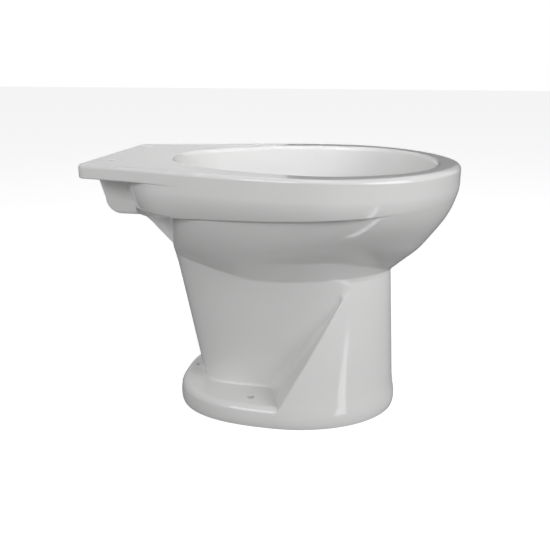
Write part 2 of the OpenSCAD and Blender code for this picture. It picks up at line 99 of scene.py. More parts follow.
for lampName in [k for k in studio if k.startswith("lamp")]:
    makeLamp(lampName, studio[lampName])


def makeWorld(v):
    # white where the camera looks; the bowl is lit by a room that is brighter low down than overhead,
    # and its glaze mirrors an even grey
    world = bpy.data.worlds.new("studioWorld")
    scene.world = world
    world.use_nodes = True
    tree = world.node_tree
    tree.nodes.clear()
    out = tree.nodes.new("ShaderNodeOutputWorld")
    path = tree.nodes.new("ShaderNodeLightPath")
    place = tree.nodes.new("ShaderNodeTexCoord")
    split = tree.nodes.new("ShaderNodeSeparateXYZ")
    ramp = tree.nodes.new("ShaderNodeMapRange")
    ramp.inputs["From Max"].default_value = v["zenithRise"]
    ramp.inputs["To Min"].default_value = v["horizonGrey"]
    ramp.inputs["To Max"].default_value = v["zenithGrey"]
    room = tree.nodes.new("ShaderNodeBackground")
    mirror = tree.nodes.new("ShaderNodeBackground")
    white = tree.nodes.new("ShaderNodeBackground")
    mirror.inputs["Color"].default_value = (v["mirrorGrey"],) * 3 + (1,)
    white.inputs["Color"].default_value = (1, 1, 1, 1)
    seen = tree.nodes.new("ShaderNodeMath")
    seen.operation = "MAXIMUM"
    first = tree.nodes.new("ShaderNodeMixShader")
    last = tree.nodes.new("ShaderNodeMixShader")
    tree.links.new(place.outputs["Generated"], split.inputs[0])
    tree.links.new(split.outputs["Z"], ramp.inputs["Value"])
    tree.links.new(ramp.outputs[0], room.inputs["Strength"])
    tree.links.new(path.outputs["Is Glossy Ray"], first.inputs[0])
    tree.links.new(room.outputs[0], first.inputs[1])
    tree.links.new(mirror.outputs[0], first.inputs[2])
    tree.links.new(path.outputs["Is Camera Ray"], seen.inputs[0])
    tree.links.new(path.outputs["Is Transmission Ray"], seen.inputs[1])
    tree.links.new(seen.outputs[0], last.inputs[0])
    tree.links.new(first.outputs[0], last.inputs[1])
    tree.links.new(white.outputs[0], last.inputs[2])
    tree.links.new(last.outputs[0], out.inputs["Surface"])


makeWorld(studio)


def makeFloor(v):
    half = v["floorHalf"]
    mesh = bpy.data.meshes.new("studioFloor")
    mesh.from_pydata([(-half, -half, 0), (half, -half, 0), (half, half, 0), (-half, half, 0)], [], [(0, 1, 2, 3)])
    floor = bpy.data.objects.new("studioFloor", mesh)
    scene.collection.objects.link(floor)
    paint = bpy.data.materials.new("studioFloorPaint")
    paint.use_nodes = True
    tree = paint.node_tree
    tree.nodes.clear()
    out = tree.nodes.new("ShaderNodeOutputMaterial")
    path = tree.nodes.new("ShaderNodeLightPath")
    matt = tree.nodes.new("ShaderNodeBsdfDiffuse")
    glow = tree.nodes.new("ShaderNodeEmission")
    both = tree.nodes.new("ShaderNodeAddShader")
    mix = tree.nodes.new("ShaderNodeMixShader")
    plain = tree.nodes.new("ShaderNodeBsdfDiffuse")
    grey = v["floorGrey"]
    matt.inputs["Color"].default_value = (grey, grey, grey, 1)
    plain.inputs["Color"].default_value = (v["floorDim"],) * 3 + (1,)
    glow.inputs["Strength"].default_value = v["floorGlow"]
    tree.links.new(matt.outputs[0], both.inputs[0])
    tree.links.new(glow.outputs[0], both.inputs[1])
    tree.links.new(path.outputs["Is Camera Ray"], mix.inputs[0])
    tree.links.new(plain.outputs[0], mix.inputs[1])
    tree.links.new(both.outputs[0], mix.inputs[2])
    tree.links.new(mix.outputs[0], out.inputs["Surface"])
    mesh.materials.append(paint)


makeFloor(studio)

cards = {
    # dark cloth behind the bowl: it darkens the flat top of the rim's front
    "clothCorners": [(-0.5, 3.2, 0.1), (2.6, 3.2, 0.1), (2.6, 3.2, 2.2), (-0.5, 3.2, 2.2)], "clothGrey": 0.12,
    # bright strip on the floor: it draws the narrow streak down the column
    "stripCorners": [(0.262, -0.150, 0.001), (0.228, -0.172, 0.001), (0.745, -0.565, 0.001), (0.78, -0.53, 0.001)],
    "stripGlow": 3.0,
}


def makeCard(name, corners, grey, strength):
    # a card that only the glaze sees
    mesh = bpy.data.meshes.new(name)
    mesh.from_pydata(corners, [], [(0, 1, 2, 3)])
    card = bpy.data.objects.new(name, mesh)
    scene.collection.objects.link(card)
    card.visible_camera = card.visible_diffuse = card.visible_shadow = card.visible_transmission = False
    paint = bpy.data.materials.new(name)
    paint.use_nodes = True
    body = paint.node_tree.nodes["Principled BSDF"]
    body.inputs["Base Color"].default_value = (grey, grey, grey, 1)
    body.inputs["Roughness"].default_value = 1
    body.inputs["Emission Color"].default_value = (1, 1, 1, 1)
    body.inputs["Emission Strength"].default_value = strength
    mesh.materials.append(paint)


makeCard("studioCloth", cards["clothCorners"], cards["clothGrey"], 0)
makeCard("studioStrip", cards["stripCorners"], 0.5, cards["stripGlow"])
print("studio ready")

# ---------------------------------------------------------------- mesh helpers
# Shapes are worked out in millimetres. A loop is an (n, 2) or (n, 3) array that runs round the bowl
# from the front tip over +Y; a grid is a stack of loops from low to high.


def smooth(v):
    u = np.clip(v, 0, 1)
    return u * u * (3 - 2 * u)


def eased(u, knots):
    # smooth curve through (u, value) pairs: a cubic in each stretch, level or sloped as its neighbours are
    x, y = np.array(knots, float).T
    slope = np.gradient(y, x)
    k = np.clip(np.searchsorted(x, u, side="right") - 1, 0, len(x) - 2)
    h = x[k + 1] - x[k]
    f = np.clip((u - x[k]) / h, 0, 1)
    return ((1 + 2 * f) * (1 - f) ** 2 * y[k] + f * (1 - f) ** 2 * h * slope[k]
            + f * f * (3 - 2 * f) * y[k + 1] - f * f * (1 - f) * h * slope[k + 1])


def mirrored(half):
    # the half from the tip to the rear centre, followed by its mirror image on the -Y side
    other = half[..., -2:0:-1, :].copy()
    other[..., 1] *= -1
    return np.concatenate([half, other], axis=-2)


def unit(v):
    return v / np.maximum(np.linalg.norm(v, axis=-1, keepdims=True), 1e-9)


def outward(loop):
    # tangent turned a quarter to the right
    d = np.roll(loop, -1, 0) - np.roll(loop, 1, 0)
    return unit(np.stack([d[:, 1], -d[:, 0]], -1))


def inset(loop, distance):
    return loop - outward(loop) * np.reshape(distance, (-1, 1))


def atHeight(loop, z):
    return np.concatenate([loop, np.broadcast_to(np.reshape(z, (-1, 1)), (len(loop), 1))], 1)


def gridNormals(p, closed):
    # cross product of the step along the loop and the step to the next loop
    pu = np.roll(p, -1, 1) - np.roll(p, 1, 1) if closed else np.gradient(p, axis=1)
    return unit(np.cross(pu, np.gradient(p, axis=0)))


def patch(p, closed=True, inward=False, normals=None):
    rows, cols = p.shape[:2]
    n = gridNormals(p, closed) if normals is None else normals
    r = np.arange(rows - 1)[:, None] * cols
    c = np.arange(cols if closed else cols - 1)[None, :]
    d = (c + 1) % cols
    faces = np.stack([r + c, r + d, r + cols + d, r + cols + c], -1).reshape(-1, 4)
    if inward:
        n, faces = -n, faces[:, ::-1]
    return {"points": p.reshape(-1, 3), "normals": n.reshape(-1, 3), "faces": faces}


def insideLoop(points, loop):
    # even-odd rule, one point against every edge at once
    a, b = loop, np.roll(loop, -1, 0)
    x, y = points[:, 0:1], points[:, 1:2]
    cross = (a[:, 1] > y) != (b[:, 1] > y)
    rise = np.where(b[:, 1] == a[:, 1], 1e-12, b[:, 1] - a[:, 1])
    at = a[:, 0] + (y - a[:, 1]) * (b[:, 0] - a[:, 0]) / rise
    return (np.sum(cross & (x < at), axis=1) % 2) == 1


def sheet(outline, holes, height, up=True, slope=0.0):
    # fills the outline with triangles, leaving the holes open; z = height + slope * x
    loops = [outline] + list(holes)
    flat = np.concatenate(loops)
    edges, start = [], 0
    for loop in loops:
        n = len(loop)
        edges += [(start + k, start + (k + 1) % n) for k in range(n)]
        start += n
    made = delaunay_2d_cdt([Vector(p) for p in flat.tolist()], edges, [], 1, 1e-6)
    points, faces = np.array([tuple(v) for v in made[0]]), np.array(made[2])
    middle = points[faces].mean(1)
    keep = insideLoop(middle, outline)
    for loop in holes:
        keep &= ~insideLoop(middle, loop)
    faces = faces[keep]
    a, b, c = points[faces[:, 0]], points[faces[:, 1]], points[faces[:, 2]]
    turn = (b[:, 0] - a[:, 0]) * (c[:, 1] - a[:, 1]) - (b[:, 1] - a[:, 1]) * (c[:, 0] - a[:, 0])
    faces[(turn < 0) if up else (turn > 0)] = faces[(turn < 0) if up else (turn > 0)][:, ::-1]
    normal = unit(np.array([-slope, 0, 1.0])) * (1 if up else -1)
    solid = np.concatenate([points, (height + slope * points[:, 0])[:, None]], 1)
    return {"points": solid, "normals": np.tile(normal, (len(solid), 1)), "faces": faces}


def circle(x, y, r, n=32):
    a = np.linspace(0, 2 * math.pi, n, endpoint=False)
    return np.stack([x + r * np.cos(a), y + r * np.sin(a)], -1)


def weld(parts):
    # points closer than a fiftieth of a millimetre become one; corners keep their own part's normal
    points = np.concatenate([p["points"] for p in parts])
    normals = np.concatenate([p["normals"] for p in parts])
    _, first, index = np.unique(np.round(points / 0.02).astype(np.int64), axis=0,
                                return_index=True, return_inverse=True)
    index = index.reshape(-1)
    faces, corners, start = [], [], 0
    for p in parts:
        f = p["faces"] + start
        start += len(p["points"])
        g = index[f]
        twin = g == np.roll(g, -1, 1)
        whole = ~twin.any(1)
        faces.append(g[whole])
        corners.append(normals[f[whole]].reshape(-1, 3))
        if f.shape[1] == 4:
            one = twin.sum(1) == 1
            faces.append(g[one][~twin[one]].reshape(-1, 3))
            corners.append(normals[f[one][~twin[one]]].reshape(-1, 3))
    return points[first], [f for f in faces if len(f)], np.concatenate(corners)


def makePiece(name, parts, node):
    points, faces, corners = weld(parts)
    mesh = bpy.data.meshes.new(name)
    mesh.from_pydata((points * mm).tolist(), [], [f for block in faces for f in block.tolist()])
    mesh.polygons.foreach_set("use_smooth", np.ones(len(mesh.polygons), bool))
    mesh.normals_split_custom_set(corners.tolist())
    mesh.materials.append(whiteGlaze)
    piece = bpy.data.objects.new(name, mesh)
    scene.collection.objects.link(piece)
    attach(piece, "root")
    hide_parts(node)
    print(name, len(mesh.polygons), "faces")


# ---------------------------------------------------------------- glaze and bisque
def makeFiredPaint(name, v):
    # glazed ware: the colour drifts a little with depth of glaze, and the gloss waves very slightly
    paint = bpy.data.materials.new(name)
    paint.use_nodes = True
    tree = paint.node_tree
    body = tree.nodes["Principled BSDF"]
    place = tree.nodes.new("ShaderNodeTexCoord")
    noise = tree.nodes.new("ShaderNodeTexNoise")
    noise.inputs["Scale"].default_value = v["driftScale"]
    noise.inputs["Detail"].default_value = 3
    tint = tree.nodes.new("ShaderNodeMix")
    tint.data_type = "RGBA"
    tint.inputs[6].default_value = (*v["dark"], 1)
    tint.inputs[7].default_value = (*v["light"], 1)
    wave = tree.nodes.new("ShaderNodeTexNoise")
    wave.inputs["Scale"].default_value = v["waveScale"]
    bump = tree.nodes.new("ShaderNodeBump")
    bump.inputs["Strength"].default_value = v["waveStrength"]
    bump.inputs["Distance"].default_value = 0.001
    tree.links.new(place.outputs["Object"], noise.inputs["Vector"])
    tree.links.new(place.outputs["Object"], wave.inputs["Vector"])
    tree.links.new(noise.outputs["Fac"], tint.inputs[0])
    tree.links.new(tint.outputs[2], body.inputs["Base Color"])
    tree.links.new(wave.outputs["Fac"], bump.inputs["Height"])
    tree.links.new(bump.outputs["Normal"], body.inputs["Normal"])
    body.inputs["Roughness"].default_value = v["roughness"]
    body.inputs["IOR"].default_value = v["ior"]
    return paint


glazeLook = {"dark": (0.79, 0.79, 0.785), "light": (0.82, 0.82, 0.815), "driftScale": 6.0,
             "waveScale": 14.0, "waveStrength": 0.06, "roughness": 0.1, "ior": 1.5}
bisqueLook = {"dark": (0.60, 0.58, 0.53), "light": (0.68, 0.655, 0.60), "driftScale": 25.0,
              "waveScale": 160.0, "waveStrength": 0.35, "roughness": 0.55, "ior": 1.45}
whiteGlaze = makeFiredPaint("whiteGlaze", glazeLook)
innerBisque = makeFiredPaint("innerBisque", bisqueLook)

# ---------------------------------------------------------------- outlines
rim = {
    "height": 385.0, "plate": 20.0, "front": 330.4, "rear": 197.4, "widestX": 141.2, "width": 361.2,
    "shelfWidth": 244.0, "corner": 14.0, "topWidth": 29.5, "openingRear": 86.0,
    "swell": 4.5, "swellFrom": -150.0, "swellRun": 200.0,
    "frontEdge": 9.0, "shelfEdge": 5.5, "openingEdge": 7.0,
}
channel = {"height": 322.0, "rise": 0.064, "floor": 7.0, "wall": 7.0, "lip": 7.0, "step": 7.0, "foot": 2.0}
cells = {"front": 110, "rear": 110}
quarter = math.pi / 2
frontAngle = np.linspace(0, quarter, cells["front"] + 1)
rearAngle = np.linspace(0, quarter, cells["rear"] + 1)[1:]
shelfBottom = rim["height"] - rim["plate"]
openingWidth = rim["width"] - 2 * rim["topWidth"]


def flankHalf(x):
    # half width behind the widest place: W/2 - (W - Ws)/2 * (2.17 s^2 - 1.17 s^3)
    s = (rim["widestX"] - x) / (rim["widestX"] + rim["rear"])
    return rim["width"] / 2 - (rim["width"] - rim["shelfWidth"]) / 2 * (2.17 * s**2 - 1.17 * s**3)


def flankSlope(x):
    s = (rim["widestX"] - x) / (rim["widestX"] + rim["rear"])
    return (rim["width"] - rim["shelfWidth"]) / 2 * (4.34 * s - 3.51 * s**2) / (rim["widestX"] + rim["rear"])


def rimFront():
    # quarter ellipse whose nose is a little blunter: y = W/2 sin t (1 - 0.065 cos^2 t - 0.11 cos^8 t)
    c, s = np.cos(frontAngle), np.sin(frontAngle)
    x = rim["widestX"] + (rim["front"] - rim["widestX"]) * np.maximum(c, 0) ** 0.99
    return np.stack([x, rim["width"] / 2 * s * (1 - 0.065 * c**2 - 0.11 * c**8)], -1)


def shelfHalf():
    # down the flank, round the shelf's corner and along its rear edge to the middle
    r, rear = rim["corner"], rim["rear"]
    tilt = math.atan(flankSlope(r - rear))
    endX = r - rear - r * math.sin(tilt)
    x = np.linspace(rim["widestX"], endX, 111)[1:]
    flank = np.stack([x, flankHalf(x)], -1)
    a = np.linspace(tilt, quarter, 13)[1:]
    centre = flank[-1] + r * np.array([math.sin(tilt), -math.cos(tilt)])
    arc = centre + r * np.stack([-np.sin(a), np.cos(a)], -1)
    edge = np.stack([np.full(12, arc[-1, 0]), np.linspace(arc[-1, 1], 0, 13)[1:]], -1)
    return np.concatenate([flank, arc, edge])


def endHalf(turnX, length, drop):
    # along the flank to turnX, then a sheared quarter ellipse that starts along the flank:
    # x = turnX - L sin a, y = A cos a + m L (1 - sin a), with m the flank's slope and A = y0 - m L
    share = rearAngle / quarter
    bend = 6 / 16
    on = share <= bend
    xa = rim["widestX"] + (turnX - rim["widestX"]) * share[on] / bend
    a = quarter * (share[~on] - bend) / (1 - bend)
    y0, m = flankHalf(turnX) - drop, flankSlope(turnX)
    xb = turnX - length * np.sin(a)
    yb = (y0 - m * length) * np.cos(a) + m * length * (1 - np.sin(a))
    return np.stack([np.concatenate([xa, xb]), np.concatenate([flankHalf(xa) - drop, yb])], -1)


def eggHalf(mid, front, rear, half, nf, nr):
    # two half superellipses that meet at the widest place
    c, s = np.maximum(np.cos(frontAngle), 0), np.sin(frontAngle)
    cr, sr = np.maximum(np.cos(rearAngle), 0), np.sin(rearAngle)
    a = np.stack([mid + front * c ** (2 / nf), half * s ** (2 / nf)], -1)
    b = np.stack([mid - rear * sr ** (2 / nr), half * cr ** (2 / nr)], -1)
    return np.concatenate([a, b])


def relaxed(loop, sigma):
    # the loop at 2048 even steps, blurred along its length by sigma millimetres, read back at the same places
    step = np.linalg.norm(np.roll(loop, -1, 0) - loop, axis=1)
    at = np.concatenate([[0], np.cumsum(step)])
    even = np.linspace(0, at[-1], 2048, endpoint=False)
    ends = np.concatenate([loop, loop[:1]])
    wave = np.fft.rfftfreq(2048, at[-1] / 2048)
    fade = np.exp(-2 * (math.pi * sigma * wave) ** 2)
    out = []
    for k in range(2):
        blurred = np.fft.irfft(np.fft.rfft(np.interp(even, at, ends[:, k])) * fade, 2048)
        out.append(np.interp(at[:-1], np.concatenate([even, at[-1:]]), np.concatenate([blurred, blurred[:1]])))
    return np.stack(out, -1)


def opening(grow, growRear=None):
    # front: half ellipse; rear: narrower, x falls with sin^(4/3) and y with cos^0.84
    growRear = grow if growRear is None else growRear
    mid, half = rim["widestX"], openingWidth / 2 + grow
    front = rim["front"] - rim["topWidth"] + grow - mid
    a = np.stack([mid + front * np.cos(frontAngle), half * np.sin(frontAngle)], -1)
    rear = mid + rim["openingRear"] + growRear
    b = np.stack([mid - rear * np.sin(rearAngle) ** (4 / 3), half * np.maximum(np.cos(rearAngle), 0) ** 0.84], -1)
    return relaxed(mirrored(np.concatenate([a, b])), 5.0)


def channelZ(x):
    return channel["height"] + channel["rise"] * x


def onChannel(loop, lift):
    return atHeight(loop, channelZ(loop[:, 0]) + lift)


def swellAt(x):
    return rim["swell"] * smooth((x - rim["swellFrom"]) / rim["swellRun"])


rimLoop = mirrored(np.concatenate([rimFront(), shelfHalf()]))
band = {
    "turn": -70.0, "rear": 155.0, "curveTop": 356.0, "curveRun": 32.0, "curveDeep": 9.6, "curvePower": 1.8,
    "stepEnd": 165.0, "stepFade": 100.0, "leastStep": 0.4,
}
bandLoop = mirrored(np.concatenate([rimFront(), endHalf(band["turn"], band["rear"] + band["turn"], 0)]))
stepList = channel["step"] * (1 - smooth((bandLoop[:, 0] - band["stepEnd"]) / band["stepFade"]))


def bandInset(x, z):
    # how far the band's skin lies inside the rim's line: it swells, then curves in by 9.6 ((356 - z) / 32)^1.8
    deep = band["curveDeep"] * (np.maximum(0, band["curveTop"] - z) / band["curveRun"]) ** band["curvePower"]
    return deep - swellAt(x)


print("outlines ready")


# ---------------------------------------------------------------- rim deck
deck = {"shelfFrom": -75.0, "shelfFade": 45.0, "edgeFrom": 140.0, "edgeFade": 160.0, "underRound": 2.2}
seatHoles = {"x": -166.0, "spacing": 155.0, "r": 8.0, "soft": 1.2}


def makeRimDeck():
    swell = swellAt(rimLoop[:, 0])
    shelfWeight = 1 - smooth((rimLoop[:, 0] - deck["shelfFrom"]) / deck["shelfFade"])   # 1 on the shelf
    frontWeight = smooth((rimLoop[:, 0] - deck["edgeFrom"]) / deck["edgeFade"])
    edge = rim["shelfEdge"] + (rim["frontEdge"] - rim["shelfEdge"]) * frontWeight
    under = deck["underRound"] * shelfWeight
    rows = []
    for a in np.linspace(0, quarter, 6):                        # lower edge, rounded where it overhangs
        loop = inset(rimLoop, under * (1 - math.sin(a)) - swell)
        rows.append(atHeight(loop, shelfBottom + under * (1 - math.cos(a))))
    for f in (0.3, 0.65):
        z = shelfBottom + under + f * (rim["plate"] - edge - under)
        rows.append(atHeight(inset(rimLoop, -swell), z))
    for a in np.linspace(0, quarter, 13):                       # upper edge: a quarter circle
        loop = inset(rimLoop, edge * (1 - math.cos(a)) - swell)
        rows.append(atHeight(loop, rim["height"] - edge * (1 - math.sin(a))))
    wall = np.array(rows)
    r = rim["openingEdge"]
    rows = [atHeight(opening(0), shelfBottom), atHeight(opening(0), shelfBottom + 6)]
    for a in np.linspace(0, quarter, 12):
        rows.append(atHeight(opening(r * (1 - math.cos(a))), rim["height"] - r * (1 - math.sin(a))))
    mouth = np.array(rows)
    x, r, soft = seatHoles["x"], seatHoles["r"], seatHoles["soft"]
    parts = [patch(wall), patch(mouth, inward=True)]
    wide = []
    for side in (-1, 1):
        y = side * seatHoles["spacing"] / 2
        rows = [atHeight(circle(x, y, r + soft), shelfBottom)]
        for a in np.linspace(0, quarter, 5):
            rows.append(atHeight(circle(x, y, r + soft * (1 - math.sin(a))), shelfBottom + soft * (1 - math.cos(a))))
        for a in np.linspace(0, quarter, 5):
            rows.append(atHeight(circle(x, y, r + soft * (1 - math.cos(a))), rim["height"] - soft * (1 - math.sin(a))))
        parts.append(patch(np.array(rows), inward=True))
        wide.append(circle(x, y, r + soft))
    parts.append(sheet(wall[-1][:, :2], [mouth[-1][:, :2]] + wide, rim["height"]))
    parts.append(sheet(wall[0][:, :2], [mouth[0][:, :2]] + wide, shelfBottom, up=False))
    makePiece("rimDeck", parts, "rim_deck")


makeRimDeck()


# ---------------------------------------------------------------- band, channel floor, lip
def makeRimBand():
    x = bandLoop[:, 0]
    soft = stepList / channel["step"]
    zLow = channelZ(x)
    low = bandInset(x, zLow)
    rows = [onChannel(inset(bandLoop, low + np.maximum(stepList, band["leastStep"])), 0),
            onChannel(inset(bandLoop, low + soft + 0.3 * (stepList - soft)), 0)]
    for a in np.linspace(0, quarter, 7):
        lift = soft * (1 - math.cos(a))
        rows.append(atHeight(inset(bandLoop, bandInset(x, zLow + lift) + soft * (1 - math.sin(a))), zLow + lift))
    for f in np.linspace(0, 1, 27)[1:]:
        z = zLow + soft + (shelfBottom - zLow - soft) * f
        rows.append(atHeight(inset(bandLoop, bandInset(x, z)), z))
    outer = np.array(rows)
    thick = channel["wall"] + channel["foot"]
    inner = np.array([atHeight(inset(bandLoop, thick), shelfBottom), onChannel(inset(bandLoop, thick), 0)])
    parts = [patch(outer), patch(inner[::-1], inward=True),
             patch(np.array([outer[-1], inner[0]])), patch(np.array([inner[1], outer[0]]))]
    makePiece("rimBand", parts, "rim_band")


makeRimBand()


flushHoles = {"r": 2.5, "count": 9, "share": 0.29, "edgeRound": 2.5}     # count on each side, share of the loop


def makeChannelFloor():
    outline = inset(bandLoop, channel["foot"] + channel["wall"])
    mouth, soft, count = opening(0), flushHoles["edgeRound"], flushHoles["count"]
    path = opening(channel["lip"] + flushHoles["r"], 0)
    path = mirrored(path[:cells["front"] + cells["rear"] + 1])
    n = len(path)
    holes = []
    for k in range(-count, count):
        i = int(round((k + 0.5) / count * n * flushHoles["share"])) % n
        holes.append(circle(path[i, 0], path[i, 1], flushHoles["r"], 12))
    rows = []
    for a in np.linspace(0, quarter, 5):
        rows.append(onChannel(opening(soft * (1 - math.sin(a))), soft * (1 - math.cos(a))))
    rows.append(onChannel(mouth, channel["floor"]))
    edge = np.array(rows)
    parts = [patch(edge, inward=True),
             sheet(outline, [edge[0][:, :2]] + holes, channel["height"], up=False, slope=channel["rise"]),
             sheet(outline, [edge[-1][:, :2]] + holes, channel["height"] + channel["floor"], slope=channel["rise"]),
             patch(np.array([onChannel(outline, 0), onChannel(outline, channel["floor"])]))]
    for hole in holes:
        parts.append(patch(np.array([onChannel(hole, 0), onChannel(hole, channel["floor"])]), inward=True))
    makePiece("channelFloor", parts, "channel_floor_ring")


makeChannelFloor()


def makeRimLip():
    inner, outer = opening(0), opening(channel["lip"])
    low, high = onChannel(inner, channel["floor"]), atHeight(inner, shelfBottom)
    rows = np.array([low * (1 - f) + high * f for f in np.linspace(0, 1, 8)])
    back = np.array([onChannel(outer, channel["floor"]), atHeight(outer, shelfBottom)])
    parts = [patch(rows, inward=True), patch(back),
             patch(np.array([back[1], rows[-1]])), patch(np.array([rows[0], back[0]]))]
    makePiece("rimLip", parts, "rim_lip")


makeRimLip()

# ---------------------------------------------------------------- bowl casing and basin
bowl = {
    "neckHeight": 219.0, "neckMid": 85.0, "neckFront": 244.0, "neckRear": 91.0, "neckWidth": 196.0,
    "neckPowers": (2, 2.1), "turn": 0.0, "rear": 98.0, "wall": 8.0,
    "sumpMid": 150.0, "sumpFront": 66.0, "sumpRear": 47.0, "sumpHalf": 66.0, "sumpPowers": (2, 2.2),
    "basinGrow": 12.0, "outPower": 0.55, "rearPower": 0.85, "leastGap": 7.0, "gapBlend": 4.0,
}
neckLoop = mirrored(eggHalf(bowl["neckMid"], bowl["neckFront"] - bowl["neckMid"], bowl["neckMid"] + bowl["neckRear"],
                            bowl["neckWidth"] / 2, *bowl["neckPowers"]))
sideDrop = bandInset(rim["widestX"], channelZ(rim["widestX"])) + channel["step"]
rimEnd = mirrored(np.concatenate([rimFront(), endHalf(bowl["turn"], bowl["rear"] + bowl["turn"], sideDrop)]))
frontMask = np.concatenate([np.ones(cells["front"] + 1), np.zeros(cells["rear"])])
frontMask = np.concatenate([frontMask, frontMask[-2:0:-1]])
plainEnd = mirrored(np.concatenate([rimFront(), endHalf(bowl["turn"], bowl["rear"] + bowl["turn"], 0)]))
bandFoot = bandInset(plainEnd[:, 0], channelZ(plainEnd[:, 0]))
casingTop = np.where(frontMask[:, None] > 0, inset(plainEnd, bandFoot + stepList), rimEnd)
sideAngle = np.degrees(np.concatenate([frontAngle, rearAngle]))
sideAngle = np.concatenate([sideAngle, sideAngle[-2:0:-1]])
basinFoot = mirrored(eggHalf(bowl["sumpMid"], bowl["sumpFront"], bowl["sumpRear"], bowl["sumpHalf"],
                             *bowl["sumpPowers"]))
basinTop = opening(bowl["basinGrow"], 0)

station = np.concatenate([frontAngle, rearAngle + quarter]) / quarter       # 0 tip, 1 side, 2 rear
station = np.concatenate([station, station[-2:0:-1]])
underside = {
    # (station, height) along the crease over the pedestal and along the kink under the bowl
    "crease": [(0, 221), (0.083, 223.5), (0.167, 224.8), (0.333, 225.9), (0.5, 225.7), (0.667, 224.6),
               (0.833, 222.9), (1, 221.5), (1.11, 222.9), (1.22, 227), (1.33, 231.8), (1.44, 235.8),
               (1.56, 237.8), (1.7, 238), (2, 238)],
    "kink": [(0, 222.5), (0.167, 228), (0.333, 236.6), (0.5, 246.8), (0.667, 255.4), (0.75, 257.4), (0.9, 257.4),
             (1.08, 256.6), (1.2, 251.5), (1.33, 248.8), (1.5, 250.5), (1.62, 251.5), (1.75, 249.5), (2, 247)],
    "facetLean": [(0, 0.9), (0.167, 0.75), (0.333, 0.62), (0.75, 0.62), (1, 0.85), (1.15, 1.05), (1.5, 1.05),
                  (1.8, 0.9), (2, 0.85)],
    "neckLean": 0.25, "grooveDepth": 3.0, "grooveHeight": 2.6, "narrower": 3.0,
    "frontLow": 1.45, "frontHigh": 0.93, "frontLast": 0.36, "sideLow": 1.35, "sideFall": 0.95,
}


def bezierRows(a, b, c, count):
    # quadratic curve from a to c with its corner at b
    return [a * (1 - s) ** 2 + b * 2 * s * (1 - s) + c * s * s for s in np.linspace(0, 1, count)]


def frontSwell(v):
    # outward steps up the front: steep under the soft corner at a quarter, then less and less
    low, high = underside["frontLow"], underside["frontHigh"]
    g = low + (high - low) * smooth((v - 0.2) / 0.18)
    return g - (high - underside["frontLast"]) * smooth((v - 0.5) / 0.5)


def sideSwell(v):
    return underside["sideLow"] - underside["sideFall"] * v


def casingRows():
    # neck, rounded crease, facet, rounded kink, then up to the band with a groove under its step
    crease, kink = eased(station, underside["crease"]), eased(station, underside["kink"])
    frontWeight = np.where(station < 1, np.cos(station * quarter) ** 2, 0)
    away = unit(neckLoop - np.array([bowl["neckMid"], 0]))
    creaseOut = underside["neckLean"] * (1 - frontWeight) * (crease - bowl["neckHeight"])
    creaseXY = neckLoop + away * creaseOut[:, None]
    rimXY = inset(casingTop, underside["narrower"] * smooth(stepList / channel["step"]))
    way = rimXY - creaseXY
    length = np.linalg.norm(way, axis=1)
    kinkOut = np.minimum(length * 0.9, eased(station, underside["facetLean"]) * (kink - crease))
    kinkXY = creaseXY + unit(way) * kinkOut[:, None]
    topZ = channelZ(casingTop[:, 0])
    neck, creaseP, kinkP = atHeight(neckLoop, bowl["neckHeight"]), atHeight(creaseXY, crease), atHeight(kinkXY, kink)
    v = np.linspace(0, 1, 241)
    shares = []
    for swellOf in (frontSwell, sideSwell):
        g = swellOf(v)
        run = np.concatenate([[0], np.cumsum((g[1:] + g[:-1]) / 2)])
        shares.append(run / run[-1])

    def upper(at):
        share = np.interp(at, v, shares[0]) * frontWeight + np.interp(at, v, shares[1]) * (1 - frontWeight)
        return atHeight(kinkXY + (rimXY - kinkXY) * share[:, None], kink + (topZ - kink) * at)
    below = np.linalg.norm(creaseP - neck, axis=1, keepdims=True)
    facet = np.linalg.norm(kinkP - creaseP, axis=1, keepdims=True)
    cutLow = np.minimum(0.85 * below, 2.5)
    cutHigh = np.minimum(0.45 * facet, 3)
    cutKink = np.minimum(0.4 * facet, 3)
    startV = 4 / np.maximum(topZ - kink, 1)
    endV = 1 - underside["grooveHeight"] / np.maximum(topZ - kink, 1)
    rows = [neck]
    a, c = creaseP + (kinkP - creaseP) * cutHigh / facet, kinkP + (creaseP - kinkP) * cutKink / facet
    rows += bezierRows(creaseP + (neck - creaseP) * cutLow / below, creaseP, a, 7)
    rows += [a * (1 - f) + c * f for f in (0.33, 0.67)]
    rows += bezierRows(c, kinkP, upper(startV), 7)
    for f in np.linspace(0, 1, 33)[1:]:
        rows.append(upper(startV + (endV - startV) * f))
    groove = underside["grooveDepth"] * smooth(stepList / channel["step"])
    last = inset(rimXY, groove)
    rows.append(atHeight(rows[-1][:, :2] * 0.4 + last * 0.6, topZ - 0.5 * underside["grooveHeight"]))
    rows.append(atHeight(last, topZ))
    return np.array(rows)


casingSkin = casingRows()


def casingBeside(z):
    # the casing's outline at each station's own height, straight between two of its rows
    above = np.clip((casingSkin[:, :, 2] < z).sum(0), 1, len(casingSkin) - 1)
    every = np.arange(len(z))
    a, b = casingSkin[above - 1, every], casingSkin[above, every]
    share = np.clip((z - a[:, 2]) / np.maximum(b[:, 2] - a[:, 2], 0.01), 0, 1)
    return a[:, :2] + (b[:, :2] - a[:, :2]) * share[:, None]


